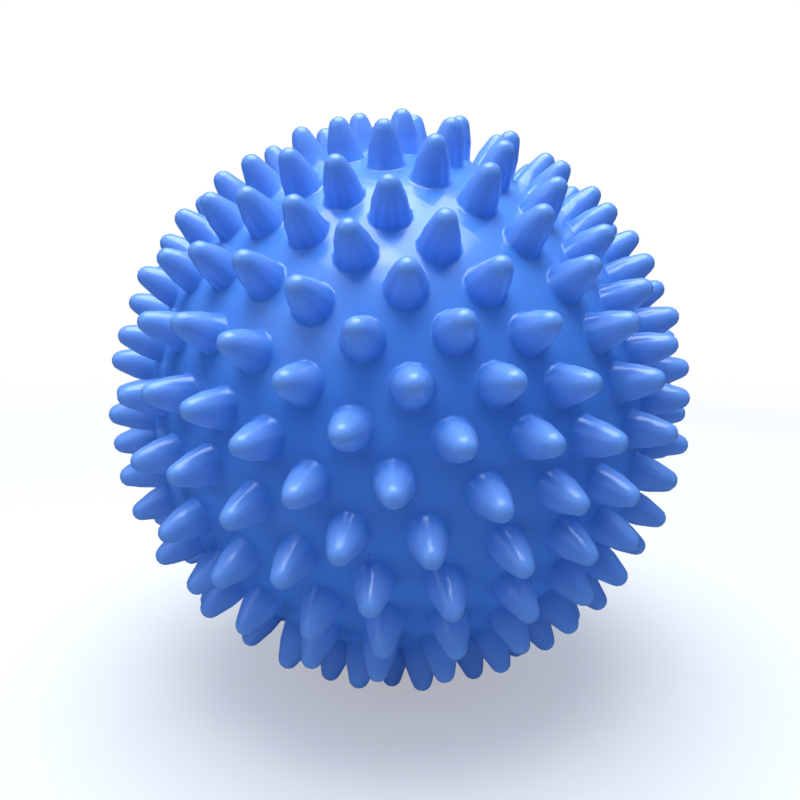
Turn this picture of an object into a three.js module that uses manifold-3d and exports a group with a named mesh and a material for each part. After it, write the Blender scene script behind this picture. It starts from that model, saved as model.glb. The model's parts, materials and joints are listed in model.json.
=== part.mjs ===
// Spiky massage ball: a hollow soft ball with conical spikes, and its air valve.
// Millimetres, +Z up, origin at the centre of the ball.

import * as THREE from 'three';
import { ConvexHull } from 'three/addons/math/ConvexHull.js';
import { mergeVertices } from 'three/addons/utils/BufferGeometryUtils.js';
import Module from 'manifold-3d';

const wasm = await Module();
wasm.setup();

// ---- Driving dimensions ----

const ballDiameter = 90; // over the tips of the spikes
const spikeLength = 6.1; // from the ball's surface to the tip
const spikeBaseDiameter = 5.6;
const spikeShoulderDiameter = 2.8; // where the straight flank turns into the tip
const spikeTipHeight = 1.1; // from the shoulder to the tip
const wallThickness = 2.4;

const plugStemDiameter = 2.4;
const plugStemLength = 8.6; // below the plug's head
const plugEdge = 0.2; // softened corners of the head and of the stem's end
const plugRibHeight = 1.2; // the thicker end of the stem
const plugRibStep = 0.1; // how far the rib stands out of the stem
const plugHeadOverhang = 1.4; // of the head's rim past the stem
const plugHeadThickness = 1;
const nailGrooveDepth = 0.5; // groove under the head's rim, for a fingernail
const nailGrooveHeight = 0.4;

const seatWall = 0.8; // rubber around the stem
const seatLipOverhang = 0.9; // of the outer lip past the neck
const seatLipThickness = 1;
const seatCollarOverhang = 0.7; // of the inner collar past the neck
const seatCollarThickness = 1;
const seatSnoutLength = 3; // from the collar into the ball
const snoutTaper = 0.3; // how much thinner the snout's rubber is at its end

const bossWall = 2.8; // around the hole, of the thicker round patch under the valve
const bossThickness = 2; // beyond the wall's inner face

const fitClearance = 0.3; // between any two pieces that sit in each other
const valveMargin = 0.2; // bare surface between the valve's recess and the nearest spike

// The pole without the valve points this far from straight up, and this way round.
const poleTilt = 117.6;
const poleHeading = -134.6;

// Rows of spikes on circles of latitude, from the mould seam to the pole. Each half starts its row at its
// own angle, in degrees, because the halves of the mould are cut separately.
const spikeRows = [
  { latitude: 7.4, count: 32, northStart: 5.5, southStart: 7.5 },
  { latitude: 18.1, count: 30, northStart: 7, southStart: 2 },
  { latitude: 29.8, count: 27, northStart: 5, southStart: 4.5 },
  { latitude: 42.2, count: 23, northStart: 2, southStart: 5.5 },
  { latitude: 54.3, count: 19, northStart: 11, southStart: 5.5 },
  { latitude: 65.9, count: 12, northStart: 14.5, southStart: 10 },
  { latitude: 78.8, count: 5, northStart: 43, southStart: 20 },
];

const spikeSides = 6;
const valveSegments = 24;
const cavityDetail = 3; // how often each icosahedron edge of the inner face is divided
const weldDistance = 1e-4; // vertices nearer than this are one vertex

// ---- Sizes that follow ----

const coreRadius = ballDiameter / 2 - spikeLength;
const cavityRadius = coreRadius - wallThickness;
const spikeBaseRadius = spikeBaseDiameter / 2;

const stemRadius = plugStemDiameter / 2;
const ribRadius = stemRadius + plugRibStep;
const seatBoreRadius = ribRadius + fitClearance;
const seatNeckRadius = seatBoreRadius + seatWall;
const seatLipRadius = seatNeckRadius + seatLipOverhang;
const seatCollarRadius = seatNeckRadius + seatCollarOverhang;
const plugHeadRadius = stemRadius + plugHeadOverhang;
const recessRadius = seatLipRadius + fitClearance;
const shellBoreRadius = seatNeckRadius + fitClearance;
const bossRadius = shellBoreRadius + bossWall;

// Distances from the ball's centre along the valve's axis, from outside to inside.
const seatTop = Math.sqrt(coreRadius ** 2 - recessRadius ** 2);
const plugSeatLevel = seatTop + fitClearance;
const plugTop = plugSeatLevel + plugHeadThickness;
const lipUnderside = seatTop - seatLipThickness;
const recessFloor = lipUnderside - fitClearance;
const bossFace = cavityRadius - bossThickness;
const collarTop = bossFace - fitClearance;
const collarUnderside = collarTop - seatCollarThickness;
const snoutEnd = collarUnderside - seatSnoutLength;
const stemEnd = plugSeatLevel - plugStemLength;

// ---- Materials ----

const blueVinyl = new THREE.MeshStandardMaterial({ color: 0x4f84de, roughness: 0.34, metalness: 0 });
const seatRubber = new THREE.MeshStandardMaterial({ color: 0x2f5fb8, roughness: 0.55, metalness: 0 });
const plugVinyl = new THREE.MeshStandardMaterial({ color: 0x3a6cca, roughness: 0.42, metalness: 0 });

// ---- Helpers ----

/** Unit vector at a latitude and longitude in degrees, with the ball's poles on the Z axis. */
function directionAt(latitude, longitude) {
  const up = THREE.MathUtils.degToRad(latitude);
  const around = THREE.MathUtils.degToRad(longitude);
  return new THREE.Vector3(
    Math.cos(up) * Math.cos(around),
    Math.cos(up) * Math.sin(around),
    Math.sin(up),
  );
}

/** A closed geometry as a solid for cutting and joining. */
function solidOf(geometry) {
  geometry.deleteAttribute('normal');
  geometry.deleteAttribute('uv');
  const merged = mergeVertices(geometry, weldDistance);
  return new wasm.Manifold(
    new wasm.Mesh({
      numProp: 3,
      vertProperties: new Float32Array(merged.attributes.position.array),
      triVerts: new Uint32Array(merged.index.array),
    }),
  );
}

/** A cut or joined solid as a geometry again. */
function geometryOf(solid) {
  const mesh = solid.getMesh();
  const geometry = new THREE.BufferGeometry();
  geometry.setAttribute('position', new THREE.BufferAttribute(mesh.vertProperties, mesh.numProp));
  geometry.setIndex(new THREE.BufferAttribute(mesh.triVerts, 1));
  geometry.computeVertexNormals();
  return geometry;
}

/** A turned piece on the valve's axis. The profile is [radius, distance from the ball's centre] pairs. */
function turnedOnValveAxis(profile) {
  const points = profile.map(([radius, distance]) => new THREE.Vector2(radius, distance));
  return new THREE.LatheGeometry(points, valveSegments).rotateX(-Math.PI / 2);
}

/** A plain round plug on the valve's axis, between two distances from the ball's centre. */
function valveCylinder(radius, inner, outer) {
  return turnedOnValveAxis([[0, inner], [radius, inner], [radius, outer], [0, outer]]);
}

// ---- Spikes ----

/** Latitude of a row on the valve's half, where the last row keeps clear of the valve. */
function southLatitude(latitude) {
  const reach = recessRadius + valveMargin + spikeBaseRadius;
  const nearest = THREE.MathUtils.radToDeg(Math.acos(reach / coreRadius));
  return Math.min(latitude, nearest);
}

/** Where every spike points. The valve takes the place of a spike at the south pole. */
function spikeDirections() {
  const directions = [directionAt(90, 0)];
  for (const { latitude, count, northStart, southStart } of spikeRows) {
    const pitch = 360 / count;
    for (let i = 0; i < count; i++) {
      directions.push(directionAt(latitude, northStart + i * pitch));
      directions.push(directionAt(-southLatitude(latitude), southStart + i * pitch));
    }
  }
  return directions;
}

/** One spike: the ring of its foot on the ball's surface, the ring of its shoulder, and its tip. */
function spikeAt(direction) {
  const frame = new THREE.Quaternion().setFromUnitVectors(new THREE.Vector3(0, 0, 1), direction);
  const ring = (radius, distance) =>
    Array.from({ length: spikeSides }, (_, i) => {
      const angle = (2 * Math.PI * i) / spikeSides;
      const corner = new THREE.Vector3(radius * Math.cos(angle), radius * Math.sin(angle), distance);
      return corner.applyQuaternion(frame);
    });
  return {
    foot: ring(spikeBaseRadius, Math.sqrt(coreRadius ** 2 - spikeBaseRadius ** 2)),
    shoulder: ring(spikeShoulderDiameter / 2, ballDiameter / 2 - spikeTipHeight),
    tip: direction.clone().multiplyScalar(ballDiameter / 2),
  };
}

/** Triangles of the ball's surface between the spikes: the hull of all feet, without the feet themselves. */
function surfaceBetween(spikes) {
  const spikeOf = new Map(spikes.flatMap((spike) => spike.foot.map((corner) => [corner, spike])));
  const triangles = [];
  for (const face of new ConvexHull().setFromPoints([...spikeOf.keys()]).faces) {
    const edges = [face.edge, face.edge.next, face.edge.prev];
    const corners = edges.map((edge) => edge.head().point);
    const touched = new Set(corners.map((corner) => spikeOf.get(corner)));
    if (touched.size > 1) triangles.push(...corners);
  }
  return triangles;
}

/** Triangles of one spike's flanks and tip. */
function spikeSkin({ foot, shoulder, tip }) {
  return foot.flatMap((corner, i) => {
    const next = (i + 1) % spikeSides;
    return [
      corner, foot[next], shoulder[next],
      corner, shoulder[next], shoulder[i],
      shoulder[i], shoulder[next], tip,
    ];
  });
}

// ---- Pieces ----

/** The ball's wall with its spikes, hollow inside, with a stepped hole for the valve. */
function makeSpikedShell() {
  const spikes = spikeDirections().map(spikeAt);
  const skin = new THREE.BufferGeometry().setFromPoints([
    ...surfaceBetween(spikes),
    ...spikes.flatMap(spikeSkin),
  ]);
  const boss = solidOf(valveCylinder(bossRadius, bossFace, coreRadius));
  const cavity = solidOf(new THREE.IcosahedronGeometry(cavityRadius, cavityDetail)).subtract(boss);
  const bore = solidOf(valveCylinder(shellBoreRadius, bossFace - fitClearance, coreRadius));
  const recess = solidOf(valveCylinder(recessRadius, recessFloor, coreRadius));
  const shell = solidOf(skin).subtract(cavity).subtract(bore).subtract(recess);
  return new THREE.Mesh(geometryOf(shell), blueVinyl);
}

/** The rubber insert: lip outside, neck through the wall, collar and tapered snout inside. */
function makeValveSeat() {
  const seat = turnedOnValveAxis([
    [seatBoreRadius, snoutEnd],
    [seatNeckRadius - snoutTaper, snoutEnd],
    [seatNeckRadius, collarUnderside],
    [seatCollarRadius, collarUnderside],
    [seatCollarRadius, collarTop],
    [seatNeckRadius, collarTop],
    [seatNeckRadius, lipUnderside],
    [seatLipRadius, lipUnderside],
    [seatLipRadius, seatTop],
    [seatBoreRadius, seatTop],
    [seatBoreRadius, snoutEnd],
  ]);
  return new THREE.Mesh(seat, seatRubber);
}

/** The stopper: flat head with a fingernail groove under its rim, and a stem with a rib at its end. */
function makeValvePlug() {
  const grooveRadius = plugHeadRadius - nailGrooveDepth;
  const ribTop = stemEnd + plugRibHeight;
  const plug = turnedOnValveAxis([
    [0, stemEnd],
    [ribRadius - plugEdge, stemEnd],
    [ribRadius, stemEnd + plugEdge],
    [ribRadius, ribTop],
    [stemRadius, ribTop + plugRibStep],
    [stemRadius, plugSeatLevel],
    [grooveRadius, plugSeatLevel],
    [plugHeadRadius, plugSeatLevel + nailGrooveHeight],
    [plugHeadRadius, plugTop - plugEdge],
    [plugHeadRadius - plugEdge, plugTop],
    [0, plugTop],
  ]);
  return new THREE.Mesh(plug, plugVinyl);
}

// ---- Assembly ----

const ball = new THREE.Group();
ball.rotation.set(
  0,
  THREE.MathUtils.degToRad(poleTilt),
  THREE.MathUtils.degToRad(poleHeading),
  'ZYX',
);
const pieces = {
  spiked_shell: makeSpikedShell(),
  valve_seat: makeValveSeat(),
  valve_plug: makeValvePlug(),
};
for (const [name, mesh] of Object.entries(pieces)) {
  mesh.name = name;
  ball.add(mesh);
}

const massageBall = new THREE.Group();
massageBall.add(ball);

export default massageBall;
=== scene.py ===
import json
import math

import bmesh
import bpy
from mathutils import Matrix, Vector, geometry
from mathutils.kdtree import KDTree


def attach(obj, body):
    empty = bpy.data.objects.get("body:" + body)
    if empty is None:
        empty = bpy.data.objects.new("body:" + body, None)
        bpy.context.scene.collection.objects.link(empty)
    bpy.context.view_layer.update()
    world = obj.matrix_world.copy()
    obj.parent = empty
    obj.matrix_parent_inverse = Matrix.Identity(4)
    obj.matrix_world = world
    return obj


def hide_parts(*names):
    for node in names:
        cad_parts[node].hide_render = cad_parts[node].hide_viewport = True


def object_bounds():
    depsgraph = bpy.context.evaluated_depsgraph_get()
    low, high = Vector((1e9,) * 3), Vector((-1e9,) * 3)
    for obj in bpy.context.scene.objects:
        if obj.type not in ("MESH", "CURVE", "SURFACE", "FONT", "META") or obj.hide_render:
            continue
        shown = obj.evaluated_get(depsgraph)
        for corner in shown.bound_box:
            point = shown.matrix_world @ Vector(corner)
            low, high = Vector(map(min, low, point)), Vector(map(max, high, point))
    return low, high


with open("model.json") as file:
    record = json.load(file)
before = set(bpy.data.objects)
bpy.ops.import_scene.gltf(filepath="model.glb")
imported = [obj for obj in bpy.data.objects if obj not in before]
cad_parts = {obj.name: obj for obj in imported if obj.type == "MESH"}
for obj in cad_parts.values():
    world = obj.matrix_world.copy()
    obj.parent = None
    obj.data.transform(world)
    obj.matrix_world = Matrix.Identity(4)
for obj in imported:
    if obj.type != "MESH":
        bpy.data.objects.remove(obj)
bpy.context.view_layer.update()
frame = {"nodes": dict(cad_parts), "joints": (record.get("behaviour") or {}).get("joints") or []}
print("frame loaded:", ", ".join(sorted(frame["nodes"])))

mm = 0.001
mergeDistance = 0.004 * mm  # points closer than this become one
softenedAngle = math.radians(30)  # edges sharper than this are rounded
plugSlide = frame["joints"][0]
valveAxis = Vector(plugSlide["axis"]).normalized()
layDown = Vector((0, 0, 1)).rotation_difference(valveAxis)  # pieces are made with the valve on top


def levels(node):
    # the lowest and highest point of a frame part along the valve's axis, from the ball's centre
    along = [v.co.dot(valveAxis) for v in frame["nodes"][node].data.vertices]
    return min(along), max(along)


# working habits that all pieces share

def deselectAll():
    if bpy.context.object and bpy.context.object.mode != "OBJECT":
        bpy.ops.object.mode_set(mode="OBJECT")
    bpy.ops.object.select_all(action="DESELECT")


def pickOnly(piece):
    deselectAll()
    piece.select_set(True)
    bpy.context.view_layer.objects.active = piece


def arc(centre, radius, start, end, steps):
    # points of a round stretch of an outline, angles in degrees from the outward direction
    points = []
    for i in range(steps + 1):
        angle = math.radians(start + (end - start) * i / steps)
        points.append((centre[0] + radius * math.cos(angle), centre[1] + radius * math.sin(angle)))
    return points


def mergeDoubles():
    bpy.ops.mesh.select_all(action="SELECT")
    bpy.ops.mesh.remove_doubles(threshold=mergeDistance)


def spinOutline(name, outline, steps):
    # one point is drawn along the outline (radius, height) and the line is spun round the upright axis
    deselectAll()
    bpy.ops.mesh.primitive_plane_add(size=mm)
    piece = bpy.context.object
    piece.name = name
    piece.data.name = name
    bpy.ops.object.mode_set(mode="EDIT")
    bpy.ops.mesh.select_all(action="SELECT")
    bpy.ops.mesh.merge(type="CENTER")
    radius, height = outline[0]
    bpy.ops.transform.translate(value=(radius, 0, height))
    for nextRadius, nextHeight in outline[1:]:
        step = (nextRadius - radius, 0, nextHeight - height)
        bpy.ops.mesh.extrude_region_move(TRANSFORM_OT_translate={"value": step})
        radius, height = nextRadius, nextHeight
    bpy.ops.mesh.select_all(action="SELECT")
    bpy.ops.mesh.spin(steps=steps, angle=2 * math.pi, center=(0, 0, 0), axis=(0, 0, 1))
    mergeDoubles()
    bpy.ops.mesh.normals_make_consistent(inside=False)
    bpy.ops.object.mode_set(mode="OBJECT")
    return piece


def softenEdges(piece, width, segments):
    bevel = piece.modifiers.new("softened edges", "BEVEL")
    bevel.width = width
    bevel.segments = segments
    bevel.limit_method = "ANGLE"
    bevel.angle_limit = softenedAngle
    pickOnly(piece)
    bpy.ops.object.modifier_apply(modifier=bevel.name)
    bpy.ops.object.mode_set(mode="EDIT")
    mergeDoubles()  # where two rounded edges meet
    bpy.ops.object.mode_set(mode="OBJECT")


def finishPiece(piece, material, sharpAngle, body, node):
    # the piece is laid on the valve's own axis, and its place goes into its mesh
    pickOnly(piece)
    piece.rotation_mode = "QUATERNION"
    piece.rotation_quaternion = layDown
    bpy.ops.object.transform_apply(location=True, rotation=True, scale=True)
    bpy.ops.object.shade_smooth_by_angle(angle=math.radians(sharpAngle))
    piece.data.materials.clear()
    piece.data.materials.append(material)
    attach(piece, body)
    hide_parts(node)
    print(piece.name, "made,", len(piece.data.polygons), "faces")


# effects that several materials share

def newGroup(name, inputs, outputs):
    group = bpy.data.node_groups.new(name, "ShaderNodeTree")
    for label, kind, value in inputs:
        socket = group.interface.new_socket(label, in_out="INPUT", socket_type=kind)
        if value is not None:
            socket.default_value = value
    for label, kind in outputs:
        group.interface.new_socket(label, in_out="OUTPUT", socket_type=kind)
    return group


def addNode(tree, kind, **settings):
    node = tree.nodes.new(kind)
    for name, value in settings.items():
        setattr(node, name, value)
    return node


def setOrLink(tree, socket, value):
    # a plain value is set on the socket, another node's output is linked to it
    if isinstance(value, bpy.types.NodeSocket):
        tree.links.new(value, socket)
    else:
        socket.default_value = value


def addMath(tree, operation, first, second):
    node = addNode(tree, "ShaderNodeMath", operation=operation)
    setOrLink(tree, node.inputs[0], first)
    setOrLink(tree, node.inputs[1], second)
    return node.outputs[0]


def addRange(tree, value, low, high, newLow, newHigh):
    node = addNode(tree, "ShaderNodeMapRange", interpolation_type="SMOOTHSTEP")
    setOrLink(tree, node.inputs["Value"], value)
    setOrLink(tree, node.inputs["From Min"], low)
    setOrLink(tree, node.inputs["From Max"], high)
    setOrLink(tree, node.inputs["To Min"], newLow)
    setOrLink(tree, node.inputs["To Max"], newHigh)
    return node.outputs[0]


def addNoise(tree, vector, scale, detail, roughness=0.5):
    node = addNode(tree, "ShaderNodeTexNoise")
    node.inputs["Detail"].default_value = detail
    node.inputs["Roughness"].default_value = roughness
    setOrLink(tree, node.inputs["Vector"], vector)
    setOrLink(tree, node.inputs["Scale"], scale)
    return node.outputs["Fac"]


effects = {
    "swellDetail": 1.5,
    "grainDetail": 2.0,
    "cloudDetail": 3.0,
    "cloudRoughness": 0.6,
    "cloudEdges": (0.35, 0.65),  # where the drift colour begins and where it has taken over
    "patchDetail": 4.0,
    "patchRoughness": 0.65,
    "patchEdges": (0.4, 0.7),
    "speckShare": 0.45,  # of the cells that hold a speck
    "plainBlue": (0.05, 0.2, 0.8, 1),  # until a material sets its own
}


def makeMouldTexture():
    # the skin that a polished mould leaves: slow swells, a fine grain on top
    group = newGroup(
        "mould texture",
        [
            ("Vector", "NodeSocketVector", None),
            ("Swells per Metre", "NodeSocketFloat", 160.0),
            ("Grains per Metre", "NodeSocketFloat", 3200.0),
            ("Grain Share", "NodeSocketFloat", 0.1),
        ],
        [("Height", "NodeSocketFloat")],
    )
    start = addNode(group, "NodeGroupInput")
    end = addNode(group, "NodeGroupOutput")
    vector = start.outputs["Vector"]
    swells = addNoise(group, vector, start.outputs["Swells per Metre"], effects["swellDetail"])
    grains = addNoise(group, vector, start.outputs["Grains per Metre"], effects["grainDetail"])
    fine = addMath(group, "MULTIPLY", grains, start.outputs["Grain Share"])
    group.links.new(addMath(group, "ADD", swells, fine), end.inputs["Height"])
    return group


def mixColours(tree, share, first, second):
    mix = addNode(tree, "ShaderNodeMix", data_type="RGBA")
    colourSockets = [socket for socket in mix.inputs if socket.type == "RGBA"]
    setOrLink(tree, mix.inputs["Factor"], share)
    setOrLink(tree, colourSockets[0], first)
    setOrLink(tree, colourSockets[1], second)
    return [socket for socket in mix.outputs if socket.type == "RGBA"][0]


def makePigmentAndPaintedLight():
    # colour that wanders a little where the dye was stirred in, with painted light: it turns paler outward
    # from the core towards the spike tips, so the core between the spikes stays darker as painted shade
    group = newGroup(
        "pigmentAndPaintedLight",
        [
            ("Vector", "NodeSocketVector", None),
            ("Colour", "NodeSocketColor", effects["plainBlue"]),
            ("Drift Colour", "NodeSocketColor", effects["plainBlue"]),
            ("Painted Light Colour", "NodeSocketColor", effects["plainBlue"]),
            ("Painted Light From", "NodeSocketFloat", 39 * mm),
            ("Painted Light Full Beyond", "NodeSocketFloat", 42 * mm),
            ("Clouds per Metre", "NodeSocketFloat", 60.0),
        ],
        [("Color", "NodeSocketColor")],
    )
    start = addNode(group, "NodeGroupInput")
    end = addNode(group, "NodeGroupOutput")
    vector, often = start.outputs["Vector"], start.outputs["Clouds per Metre"]
    clouds = addNoise(group, vector, often, effects["cloudDetail"], effects["cloudRoughness"])
    share = addRange(group, clouds, *effects["cloudEdges"], 0.0, 1.0)
    dyed = mixColours(group, share, start.outputs["Colour"], start.outputs["Drift Colour"])
    radius = addNode(group, "ShaderNodeVectorMath", operation="LENGTH")
    group.links.new(start.outputs["Vector"], radius.inputs[0])
    paintedLightStart, paintedLightFull = start.outputs["Painted Light From"], start.outputs["Painted Light Full Beyond"]
    # painted light: the colour pales from the core's surface to halfway up the spikes, leaving the core
    # between them darker as painted shade
    paintedLightShare = addRange(group, radius.outputs["Value"], paintedLightStart, paintedLightFull, 0.0, 1.0)
    group.links.new(mixColours(group, paintedLightShare, dyed, start.outputs["Painted Light Colour"]), end.inputs["Color"])
    return group


def makeHandling():
    # what handling leaves: dull patches of skin grease and lint, and a few tiny dark specks
    group = newGroup(
        "handling",
        [
            ("Vector", "NodeSocketVector", None),
            ("Patches per Metre", "NodeSocketFloat", 90.0),
            ("Specks per Metre", "NodeSocketFloat", 110.0),
            ("Speck Size", "NodeSocketFloat", 0.016),
        ],
        [("Patches", "NodeSocketFloat"), ("Specks", "NodeSocketFloat")],
    )
    start = addNode(group, "NodeGroupInput")
    end = addNode(group, "NodeGroupOutput")
    vector, often = start.outputs["Vector"], start.outputs["Patches per Metre"]
    patches = addNoise(group, vector, often, effects["patchDetail"], effects["patchRoughness"])
    group.links.new(addRange(group, patches, *effects["patchEdges"], 0.0, 1.0), end.inputs["Patches"])
    cells = addNode(group, "ShaderNodeTexVoronoi", feature="F1")
    group.links.new(start.outputs["Vector"], cells.inputs["Vector"])
    group.links.new(start.outputs["Specks per Metre"], cells.inputs["Scale"])
    near = addMath(group, "LESS_THAN", cells.outputs["Distance"], start.outputs["Speck Size"])
    lot = addNode(group, "ShaderNodeSeparateColor")
    group.links.new(cells.outputs["Color"], lot.inputs["Color"])
    chosen = addMath(group, "GREATER_THAN", lot.outputs["Red"], 1 - effects["speckShare"])
    group.links.new(addMath(group, "MULTIPLY", near, chosen), end.inputs["Specks"])
    return group


mouldTexture = makeMouldTexture()
pigmentAndPaintedLight = makePigmentAndPaintedLight()
handling = makeHandling()


def softPlastic(name, look):
    # coloured soft plastic: a dyed body with painted light on its spikes, under its own moulded gloss
    material = bpy.data.materials.new(name)
    material.use_nodes = True
    tree = material.node_tree
    shader = tree.nodes["Principled BSDF"]
    spot = addNode(tree, "ShaderNodeTexCoord").outputs["Object"]

    # the base colour holds the dye's drift and the painted light that makes the spikes paler than the core
    colour = addNode(tree, "ShaderNodeGroup", node_tree=pigmentAndPaintedLight)
    tree.links.new(spot, colour.inputs["Vector"])
    colour.inputs["Colour"].default_value = look["colour"] + (1,)
    colour.inputs["Drift Colour"].default_value = look["driftColour"] + (1,)
    colour.inputs["Painted Light Colour"].default_value = look["paintedLightColour"] + (1,)
    colour.inputs["Painted Light From"].default_value = core
    colour.inputs["Painted Light Full Beyond"].default_value = (core + reach) / 2

    touch = addNode(tree, "ShaderNodeGroup", node_tree=handling)
    tree.links.new(spot, touch.inputs["Vector"])
    touch.inputs["Speck Size"].default_value = look["speckSize"]
    specked = mixColours(tree, touch.outputs["Specks"], colour.outputs["Color"], look["speckColour"] + (1,))
    tree.links.new(specked, shader.inputs["Base Color"])

    smooth, dull = look["roughness"]
    tree.links.new(addRange(tree, touch.outputs["Patches"], 0, 1, smooth, dull), shader.inputs["Roughness"])

    skin = addNode(tree, "ShaderNodeGroup", node_tree=mouldTexture)
    tree.links.new(spot, skin.inputs["Vector"])
    skin.inputs["Swells per Metre"].default_value = look["swellsPerMetre"]
    skin.inputs["Grains per Metre"].default_value = look["grainsPerMetre"]
    skin.inputs["Grain Share"].default_value = look["grainShare"]
    bump = addNode(tree, "ShaderNodeBump")
    bump.inputs["Strength"].default_value = look["bumpStrength"]
    bump.inputs["Distance"].default_value = look["bumpHeight"]
    tree.links.new(skin.outputs["Height"], bump.inputs["Height"])
    tree.links.new(bump.outputs["Normal"], shader.inputs["Normal"])

    shader.inputs["IOR"].default_value = look["ior"]
    shader.inputs["Specular Tint"].default_value = look["glossTint"] + (1,)
    shader.inputs["Coat Weight"].default_value = look["coat"]
    shader.inputs["Coat Roughness"].default_value = look["coatRoughness"]
    return material


# the moulded ball: its spikes, the skin between them, and the hollow inside

ballShape = {
    "spikeLength": 6.1 * mm,
    "footRadius": 2.7 * mm,  # where the flank would meet the ball's surface
    "tipRadius": 1.5 * mm,
    "tipSteps": 3,
    "tipRelief": 0.05 * mm,  # how far the rounded tips stay inside the frame's own tips
    "filletRadius": 0.3 * mm,  # round the foot
    "filletSteps": 1,
    "flankBow": 0.2 * mm,  # how far the flank swells outwards halfway up
    "skirtWidth": 0.2 * mm,  # of the ball's own surface that goes with each spike
    "spikeSides": 12,
    "surfaceFineness": 6,  # subdivisions of the round that the skin is taken from
    "skinGap": 0.6 * mm,  # least distance from a skin point to a spike's skirt
    "seamHeight": 0.04 * mm,  # the fine line where the mould's halves met
    "seamHalfWidth": 0.3 * mm,
    "seamPoints": 180,
    "wall": 2.4 * mm,
    "recessRadius": 3.6 * mm,  # of the valve's seat
    "recessDepth": 1.3 * mm,
    "mouthRound": 0.2 * mm,
    "mouthSteps": 3,
    "boreRadius": 2.7 * mm,
    "bossRadius": 5.5 * mm,  # of the thick patch that holds the valve
    "bossDepth": 4.4 * mm,  # of its inner face below the ball's surface
    "valveSides": 48,
    "innerRings": 24,
    "sharpAngle": 55.0,
    "terminatorOffset": 0.3,  # keeps the spikes' flat sides from showing where light grazes them
}

tipTolerance = 0.01 * mm  # how far below the reach a point of the frame still counts as a tip
tipDecimals = 4  # points whose directions agree this far are one tip
skirtSlack = 0.05 * mm  # for telling a spike's skirt from the valve's mouth
netTolerance = 1e-12

vinylLook = {
    "colour": (0.08, 0.272, 0.84),
    "driftColour": (0.088, 0.284, 0.85),
    "paintedLightColour": (0.17, 0.365, 0.9),  # painted light: the spikes get this paler colour, the core between them keeps the darker one
    "speckSize": 0.014,
    "speckColour": (0.012, 0.03, 0.12),
    "roughness": (0.28, 0.36),
    "swellsPerMetre": 190.0,
    "grainsPerMetre": 3600.0,
    "grainShare": 0.05,
    "bumpStrength": 0.4,
    "bumpHeight": 0.06 * mm,
    "ior": 1.54,
    "coat": 0.32,
    "coatRoughness": 0.08,
    "glossTint": (0.6, 0.8, 1.0),
}


reach = max(v.co.length for v in frame["nodes"]["spiked_shell"].data.vertices)
core = reach - ballShape["spikeLength"]
bossFace = core - ballShape["bossDepth"]


def spikeDirections():
    # where the frame's spikes point, with the valve turned to the top
    turn = layDown.inverted()
    tips = set()
    for v in frame["nodes"]["spiked_shell"].data.vertices:
        if v.co.length > reach - tipTolerance:
            tip = turn @ v.co.normalized()
            tips.add(tuple(round(part, tipDecimals) for part in tip))
    return [Vector(tip).normalized() for tip in sorted(tips)]


def onSphere(radius, sphereRadius):
    return (radius, math.sqrt(sphereRadius ** 2 - radius ** 2))


def spikeOutline():
    # from the skirt on the ball's surface, round the fillet, up the flank and over the tip
    top = reach - ballShape["tipRelief"]
    tipRadius = ballShape["tipRadius"]
    tipCentre = (0, top - tipRadius)
    foot = onSphere(ballShape["footRadius"], core)
    rise = tipCentre[1] - foot[1]
    lean = math.atan2(foot[0], rise) - math.asin(tipRadius / math.hypot(foot[0], rise))
    outward = (math.cos(lean), math.sin(lean))
    upward = (-math.sin(lean), math.cos(lean))
    fillet = ballShape["filletRadius"]
    # the fillet's centre is its own radius clear of both the flank and the ball's surface
    start = (foot[0] + fillet * outward[0], foot[1] + fillet * outward[1])
    along = start[0] * upward[0] + start[1] * upward[1]
    lift = -along + math.sqrt(along ** 2 - start[0] ** 2 - start[1] ** 2 + (core + fillet) ** 2)
    centre = (start[0] + lift * upward[0], start[1] + lift * upward[1])
    surfaceAngle = math.degrees(math.atan2(-centre[1], -centre[0])) + 360
    flankAngle = math.degrees(lean) + 180
    hollow = arc(centre, fillet, surfaceAngle, flankAngle, ballShape["filletSteps"])
    shoulder = arc(tipCentre, tipRadius, math.degrees(lean), 90, ballShape["tipSteps"])
    middle = (
        (hollow[-1][0] + shoulder[0][0]) / 2 + ballShape["flankBow"] * outward[0],
        (hollow[-1][1] + shoulder[0][1]) / 2 + ballShape["flankBow"] * outward[1],
    )
    skirt = onSphere(hollow[0][0] + ballShape["skirtWidth"], core)
    return [skirt] + hollow + [middle] + shoulder[:-1] + [(0, top)]


def plantSpikes(spike, directions):
    # one copy with its own mesh for each direction, all joined into one
    copies = []
    for direction in directions:
        copy = spike.copy()
        copy.data = spike.data.copy()
        copy.rotation_mode = "QUATERNION"
        copy.rotation_quaternion = direction.to_track_quat("Z", "Y")
        bpy.context.scene.collection.objects.link(copy)
        copies.append(copy)
    bpy.data.objects.remove(spike)
    deselectAll()
    for copy in copies:
        copy.select_set(True)
    bpy.context.view_layer.objects.active = copies[0]
    bpy.ops.object.join()
    bpy.ops.object.transform_apply(location=True, rotation=True, scale=True)
    return copies[0]


def hollowOutline():
    # from the mouth of the valve's recess, through the bore, round the boss and over the inner wall
    recess = ballShape["recessRadius"]
    mouth = ballShape["mouthRound"]
    rim = onSphere(recess + mouth, core)
    floor = onSphere(recess, core)[1] - ballShape["recessDepth"]
    inner = core - ballShape["wall"]
    bore = ballShape["boreRadius"]
    boss = ballShape["bossRadius"]
    bossTop = onSphere(boss, inner)
    wallStart = math.degrees(math.atan2(bossTop[1], boss))
    corner = arc((rim[0], rim[1] - mouth), mouth, 90, 180, ballShape["mouthSteps"])
    body = [(recess, floor), (bore, floor), (bore, bossFace), (boss, bossFace)]
    wall = arc((0, 0), inner, wallStart, -90, ballShape["innerRings"])
    return corner + body + wall[:-1] + [(0, -inner)]


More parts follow.
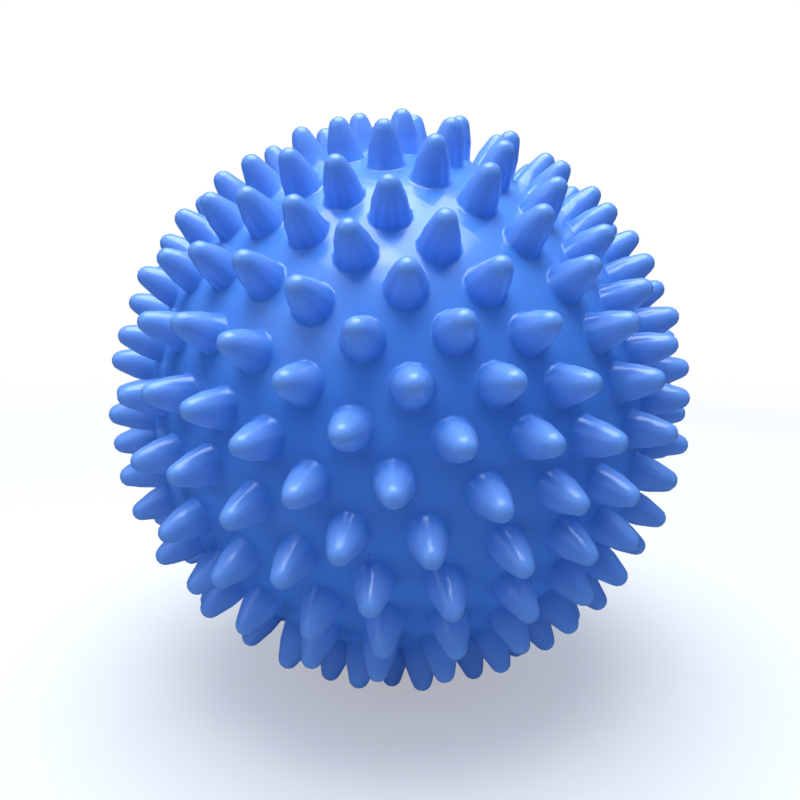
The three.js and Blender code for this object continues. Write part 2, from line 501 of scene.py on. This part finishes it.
def skinPoints(spikes, skirtRadius):
    # points of an even round, kept where they clear the spikes, the valve and the mould's seam
    deselectAll()
    bpy.ops.mesh.primitive_ico_sphere_add(subdivisions=ballShape["surfaceFineness"], radius=core)
    source = bpy.context.object
    seamReach = 4 * ballShape["seamHalfWidth"]  # twice as far out as the seam's outer rings
    mouth = Vector((0, 0, core))
    mouthReach = ballShape["recessRadius"] + ballShape["mouthRound"] + ballShape["skinGap"]
    points = []
    for v in source.data.vertices:
        clearOfSpikes = spikes.find(v.co)[2] > skirtRadius + ballShape["skinGap"]
        clearOfMouth = (v.co - mouth).length > mouthReach
        if clearOfSpikes and clearOfMouth and abs(v.co.z) > seamReach:
            points.append(v.co.copy())
    bpy.data.objects.remove(source)
    return points


def seamPoints():
    # five rings round the middle of the ball, the middle one raised
    half = ballShape["seamHalfWidth"]
    points = []
    for offset, rise in ((-2, 0), (-1, 0), (0, ballShape["seamHeight"]), (1, 0), (2, 0)):
        ringRadius = onSphere(abs(offset) * half, core)[1] + rise
        for i in range(ballShape["seamPoints"]):
            angle = 2 * math.pi * i / ballShape["seamPoints"]
            x, y = ringRadius * math.cos(angle), ringRadius * math.sin(angle)
            points.append(Vector((x, y, offset * half)))
    return points


def stretchSkin(ball, directions):
    # the surface between the feet: the ball is laid out flat, seen from the valve, and its points are netted
    spikes = KDTree(len(directions))
    for i, direction in enumerate(directions):
        spikes.insert(direction * core, i)
    spikes.balance()
    mesh = bmesh.new()
    mesh.from_mesh(ball.data)
    rims = [v for v in mesh.verts if v.is_boundary]
    skirtRadius = min(spikes.find(v.co)[2] for v in rims) + skirtSlack
    owner = {}
    for v in rims:
        index, distance = spikes.find(v.co)[1:]
        owner[v] = index if distance < skirtRadius else "mouth"
    added = skinPoints(spikes, skirtRadius) + seamPoints()
    corners = rims + [mesh.verts.new(point) for point in added]
    flat = []
    for v in corners:
        place = v.co.normalized()
        flat.append(Vector((place.x, place.y)) / (1 - place.z))
    net = geometry.delaunay_2d_cdt(flat, [], [], 0, netTolerance)
    for triangle in net[2]:
        face = [corners[net[3][i][0]] for i in triangle]
        owners = {owner.get(v, v) for v in face}
        if len(owners) > 1:
            mesh.faces.new(face)
    mesh.to_mesh(ball.data)
    mesh.free()


def makeBall(material):
    directions = spikeDirections()
    spike = spinOutline("moulded_ball", spikeOutline(), ballShape["spikeSides"])
    ball = plantSpikes(spike, directions)
    print(len(directions), "spikes planted")
    hollow = spinOutline("hollow", hollowOutline(), ballShape["valveSides"])
    pickOnly(ball)
    hollow.select_set(True)
    bpy.ops.object.join()
    ball.name = "moulded_ball"
    stretchSkin(ball, directions)
    pickOnly(ball)
    bpy.ops.object.mode_set(mode="EDIT")
    bpy.ops.mesh.select_all(action="SELECT")
    bpy.ops.mesh.normals_make_consistent(inside=False)
    bpy.ops.mesh.select_all(action="DESELECT")
    bpy.ops.mesh.select_mode(type="EDGE")
    bpy.ops.mesh.select_non_manifold()
    openEdges = sum(edge.select for edge in bmesh.from_edit_mesh(ball.data).edges)
    print("open edges:", openEdges)
    bpy.ops.mesh.select_mode(type="VERT")
    bpy.ops.object.mode_set(mode="OBJECT")
    finishPiece(ball, material, ballShape["sharpAngle"], "ball", "spiked_shell")
    ball.cycles.shadow_terminator_offset = ballShape["terminatorOffset"]
    ball.cycles.shadow_terminator_geometry_offset = ballShape["terminatorOffset"]


makeBall(softPlastic("blue vinyl", vinylLook))


# the rubber seat of the valve

seatShape = {
    "lipRadius": 3.52 * mm,
    "lipThickness": 1 * mm,
    "neckRadius": 2.4 * mm,
    "boreRadius": 1.6 * mm,
    "mouthChamfer": 0.25 * mm,
    "grooveRadius": 2.3 * mm,  # of the shallow ring cut into the lip
    "grooveWidth": 0.4 * mm,
    "grooveDepth": 0.12 * mm,
    "collarGap": 0.3 * mm,  # between the collar and the ball's boss
    "collarRadius": 3.1 * mm,
    "collarThickness": 1 * mm,
    "snoutRadius": 2.1 * mm,
    "edge": 0.06 * mm,
    "edgeSegments": 2,
    "sharpAngle": 35.0,
    "sides": 48,
}

rubberLook = dict(
    vinylLook,
    colour=(0.03, 0.115, 0.5),
    driftColour=(0.035, 0.13, 0.53),
    paintedLightColour=(0.035, 0.13, 0.53),
    roughness=(0.46, 0.6),
    coat=0.0,
    bumpHeight=0.04 * mm,
    grainShare=0.25,
)


def makeSeat(material):
    shape = seatShape
    snoutEnd, top = levels("valve_seat")
    lipUnder = top - shape["lipThickness"]
    collarTop = bossFace - shape["collarGap"]
    collarUnder = collarTop - shape["collarThickness"]
    grooveInner = shape["grooveRadius"]
    grooveOuter = grooveInner + shape["grooveWidth"]
    grooveFloor = top - shape["grooveDepth"]
    # up the outside from the snout's end, over the lip, and back down the bore
    outline = [
        (shape["boreRadius"], snoutEnd),
        (shape["snoutRadius"], snoutEnd),
        (shape["neckRadius"], collarUnder),
        (shape["collarRadius"], collarUnder),
        (shape["collarRadius"], collarTop),
        (shape["neckRadius"], collarTop),
        (shape["neckRadius"], lipUnder),
        (shape["lipRadius"], lipUnder),
        (shape["lipRadius"], top),
        (grooveOuter, top),
        (grooveOuter, grooveFloor),
        (grooveInner, grooveFloor),
        (grooveInner, top),
        (shape["boreRadius"] + shape["mouthChamfer"], top),
        (shape["boreRadius"], top - shape["mouthChamfer"]),
        (shape["boreRadius"], snoutEnd),
    ]
    seat = spinOutline("rubber_seat", outline, shape["sides"])
    softenEdges(seat, shape["edge"], shape["edgeSegments"])
    finishPiece(seat, material, shape["sharpAngle"], "ball", "valve_seat")


makeSeat(softPlastic("seat rubber", rubberLook))


# the stopper

plugShape = {
    "headRadius": 2.6 * mm,
    "headThickness": 1 * mm,
    "undercutDepth": 0.5 * mm,  # sloped, under the rim, where a fingernail gets hold
    "undercutHeight": 0.4 * mm,
    "stemRadius": 1.2 * mm,
    "ribStep": 0.1 * mm,  # of the thicker end of the stem
    "ribHeight": 1.2 * mm,
    "gateRadius": 0.45 * mm,  # the dimple where the plastic ran in
    "gateDepth": 0.15 * mm,
    "ringRadius": 1.6 * mm,  # of the shallow ring cut into the head
    "ringWidth": 0.3 * mm,
    "ringDepth": 0.1 * mm,
    "edge": 0.12 * mm,
    "edgeSegments": 2,
    "sharpAngle": 35.0,
    "sides": 48,
}

plugLook = dict(
    vinylLook,
    colour=(0.04, 0.155, 0.66),
    driftColour=(0.045, 0.17, 0.69),
    paintedLightColour=(0.045, 0.17, 0.69),
    roughness=(0.3, 0.42),
    coat=0.25,
)


def makePlug(material):
    shape = plugShape
    end, top = levels("valve_plug")
    headUnder = top - shape["headThickness"]
    stem = shape["stemRadius"]
    rib = stem + shape["ribStep"]
    ribTop = end + shape["ribHeight"]
    ribChamfer = 2 * shape["edge"]
    head = shape["headRadius"]
    ring = shape["ringRadius"]
    gate = shape["gateRadius"]
    gateFloor = top - shape["gateDepth"]
    # from the middle of the stem's end, up the outside, and over the head to the middle
    outline = [
        (0, end),
        (rib - ribChamfer, end),
        (rib, end + ribChamfer),
        (rib, ribTop),
        (stem, ribTop + shape["ribStep"]),
        (stem, headUnder),
        (head - shape["undercutDepth"], headUnder),
        (head, headUnder + shape["undercutHeight"]),
        (head, top),
        (ring + shape["ringWidth"], top),
        (ring + shape["ringWidth"] / 2, top - shape["ringDepth"]),
        (ring, top),
        (gate, top),
        (gate / 2, gateFloor),
        (0, gateFloor),
    ]
    plug = spinOutline("stopper", outline, shape["sides"])
    softenEdges(plug, shape["edge"], shape["edgeSegments"])
    finishPiece(plug, material, shape["sharpAngle"], "plug", "valve_plug")


makePlug(softPlastic("plug vinyl", plugLook))


# the studio

studio = {
    "elevation": 10.0,  # of the camera, in degrees
    "cameraDistance": 124.7 * mm,
    "lens": 34.0,
    "lights": [
        # name, direction from the ball, distance, half-angle as the ball sees it, radiance
        ("softbox", (-0.05, -0.05, 1), 600 * mm, 27.0, 5.2),
        ("lamp in the softbox", (-0.08, -0.36, 1), 500 * mm, 4.0, 9.0),
        ("window to the left", (-0.7, -0.5, 0.6), 700 * mm, 22.0, 0.7),
    ],
    "roomColour": (0.42, 0.68, 1.0),  # so that the shaded side is a purer blue
    "roomAbove": 0.7,
    "roomBelow": 0.02,  # seen in the ball's gloss, which leaves the floor out
    "roomFade": (0.0, 0.8),  # sines of the heights at which the room starts to lighten and is lightest
    "floorGlow": 0.32,  # light that the white floor gives back
    "backdropRadiance": 1.0,
    "backdropColour": (1, 1, 1),
    "floorRadius": 1.5,
    "floorSides": 96,
    "floorRoughness": 0.9,
    "floorColour": (0.8, 0.8, 0.81),
    "floorWhite": (0.4, 1.0),  # share of plain white under the ball and far from it
    "floorFade": (80 * mm, 400 * mm),
}


def makeCamera():
    tilt = math.radians(studio["elevation"])
    back = Vector((0, -math.cos(tilt), math.sin(tilt)))
    camera = bpy.data.objects.new("camera", bpy.data.cameras.new("camera"))
    bpy.context.scene.collection.objects.link(camera)
    camera.location = back * studio["cameraDistance"]
    camera.rotation_euler = (math.pi / 2 - tilt, 0, 0)
    camera.data.lens = studio["lens"]
    camera.data.clip_start = 5 * mm
    bpy.context.scene.camera = camera


def makeSoftLight(name, direction, distance, halfAngle, radiance):
    # a round diffuse light that faces the ball; its power is its area times pi times its radiance
    radius = distance * math.tan(math.radians(halfAngle))
    light = bpy.data.lights.new(name, "AREA")
    light.shape = "DISK"
    light.size = 2 * radius
    area = math.pi * radius ** 2
    light.energy = area * math.pi * radiance
    lamp = bpy.data.objects.new(name, light)
    bpy.context.scene.collection.objects.link(lamp)
    lamp.location = Vector(direction).normalized() * distance
    lamp.rotation_mode = "QUATERNION"
    lamp.rotation_quaternion = Vector(direction).to_track_quat("Z", "Y")


def makeRoom():
    # the backdrop is white to look at; the room itself is lit from above and dim below
    world = bpy.data.worlds.new("room")
    bpy.context.scene.world = world
    world.use_nodes = True
    tree = world.node_tree
    room = tree.nodes["Background"]
    room.inputs["Color"].default_value = studio["roomColour"] + (1,)
    split = addNode(tree, "ShaderNodeSeparateXYZ")
    tree.links.new(addNode(tree, "ShaderNodeTexCoord").outputs["Generated"], split.inputs[0])
    below, above = studio["roomBelow"], studio["roomAbove"]
    strength = addRange(tree, split.outputs["Z"], *studio["roomFade"], below, above)
    tree.links.new(strength, room.inputs["Strength"])
    backdrop = addNode(tree, "ShaderNodeBackground")
    backdrop.inputs["Color"].default_value = studio["backdropColour"] + (1,)
    backdrop.inputs["Strength"].default_value = studio["backdropRadiance"]
    seen = addNode(tree, "ShaderNodeLightPath").outputs["Is Camera Ray"]
    mix = addNode(tree, "ShaderNodeMixShader")
    tree.links.new(seen, mix.inputs[0])
    tree.links.new(room.outputs[0], mix.inputs[1])
    tree.links.new(backdrop.outputs[0], mix.inputs[2])
    tree.links.new(mix.outputs[0], tree.nodes["World Output"].inputs["Surface"])


def makeFloor():
    # pale paper under the ball, which turns into the white of the backdrop farther out
    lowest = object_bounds()[0].z
    deselectAll()
    bpy.ops.mesh.primitive_circle_add(
        vertices=studio["floorSides"],
        radius=studio["floorRadius"],
        fill_type="NGON",
        location=(0, 0, lowest),
    )
    floor = bpy.context.object
    floor.name = "floor"
    floor.visible_glossy = False  # so that its white stays out of the ball's gloss
    paper = bpy.data.materials.new("floor paper")
    paper.use_nodes = True
    tree = paper.node_tree
    shader = tree.nodes["Principled BSDF"]
    shader.inputs["Base Color"].default_value = studio["floorColour"] + (1,)
    shader.inputs["Roughness"].default_value = studio["floorRoughness"]
    shader.inputs["Specular IOR Level"].default_value = 0.0
    spot = addNode(tree, "ShaderNodeTexCoord").outputs["Object"]
    distance = addNode(tree, "ShaderNodeVectorMath", operation="LENGTH")
    tree.links.new(spot, distance.inputs[0])
    near, far = studio["floorFade"]
    fade = addRange(tree, distance.outputs["Value"], near, far, *studio["floorWhite"])
    white = addNode(tree, "ShaderNodeEmission")
    seen = addNode(tree, "ShaderNodeLightPath").outputs["Is Camera Ray"]
    strength = addRange(tree, seen, 0, 1, studio["floorGlow"], studio["backdropRadiance"])
    tree.links.new(strength, white.inputs["Strength"])
    glow = mixColours(tree, seen, studio["roomColour"] + (1,), studio["backdropColour"] + (1,))
    tree.links.new(glow, white.inputs["Color"])
    mix = addNode(tree, "ShaderNodeMixShader")
    tree.links.new(fade, mix.inputs[0])
    tree.links.new(shader.outputs[0], mix.inputs[1])
    tree.links.new(white.outputs[0], mix.inputs[2])
    tree.links.new(mix.outputs[0], tree.nodes["Material Output"].inputs["Surface"])
    floor.data.materials.append(paper)


makeCamera()
for light in studio["lights"]:
    makeSoftLight(*light)
makeRoom()
makeFloor()
bpy.context.scene.view_settings.view_transform = "Standard"
print("studio ready")
